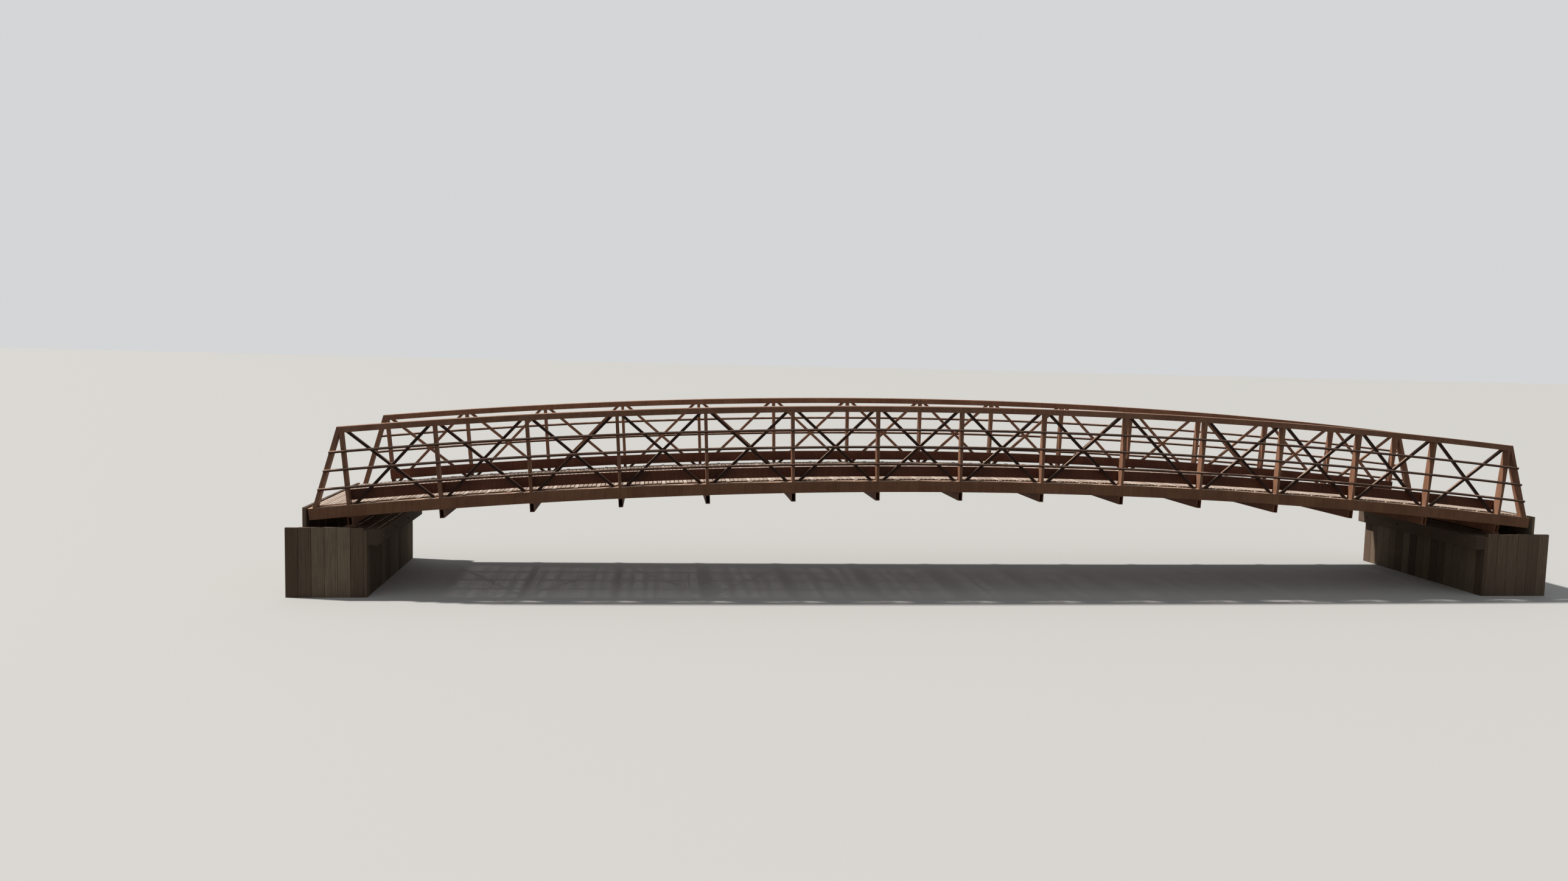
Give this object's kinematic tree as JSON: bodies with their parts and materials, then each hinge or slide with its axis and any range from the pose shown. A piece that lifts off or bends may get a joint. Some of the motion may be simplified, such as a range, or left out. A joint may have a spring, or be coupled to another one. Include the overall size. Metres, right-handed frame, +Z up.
{
  "type": "arched steel truss footbridge",
  "caption": "Arched half-through truss footbridge with crossed diagonals, side rails, a boarded deck and two timber abutments.",
  "frame": {"origin": "on the ground under mid-span, at the bottom centre of the whole bridge", "axes": "+X along the bridge to the right end, +Y across it to the far truss, +Z up"},
  "size_m": [23.3262, 3.56, 3.435],
  "materials": {
    "truss_steel": "weathered dark brown paint with light rust",
    "bearing_steel": "dark brown paint with rust",
    "deck_boards": "sun-bleached bare boards",
    "abutment_timber": "weathered rough-sawn timber",
    "bearing_rubber": "matt black"
  },
  "bodies": {
    "root": {"near_top_chord_left": "truss_steel", "near_top_chord_right": "truss_steel", "far_top_chord_left": "truss_steel", "far_top_chord_right": "truss_steel", "near_bottom_chord_left": "truss_steel", "near_bottom_chord_right": "truss_steel", "far_bottom_chord_left": "truss_steel", "far_bottom_chord_right": "truss_steel", "near_posts": "truss_steel", "far_posts": "truss_steel", "near_diagonals": "truss_steel", "far_diagonals": "truss_steel", "near_end_posts": "truss_steel", "far_end_posts": "truss_steel", "splice_plates": "truss_steel", "near_upper_rail": "truss_steel", "near_middle_rail": "truss_steel", "near_lower_rail": "truss_steel", "far_upper_rail": "truss_steel", "far_middle_rail": "truss_steel", "far_lower_rail": "truss_steel", "near_toe_board": "truss_steel", "far_toe_board": "truss_steel", "deck_left": "deck_boards", "deck_right": "deck_boards", "joists": "truss_steel", "end_beams": "truss_steel", "floor_beams": "truss_steel", "wind_bracing": "truss_steel", "sole_plates": "bearing_steel", "rubber_pads": "bearing_rubber", "base_plates": "bearing_steel", "left_cap_beam": "abutment_timber", "left_waling": "abutment_timber", "left_front_wall": "abutment_timber", "left_wing_walls": "abutment_timber", "left_back_wall": "abutment_timber", "left_piles": "abutment_timber", "right_cap_beam": "abutment_timber", "right_waling": "abutment_timber", "right_front_wall": "abutment_timber", "right_wing_walls": "abutment_timber", "right_back_wall": "abutment_timber", "right_piles": "abutment_timber"}
  },
  "joints": []
}
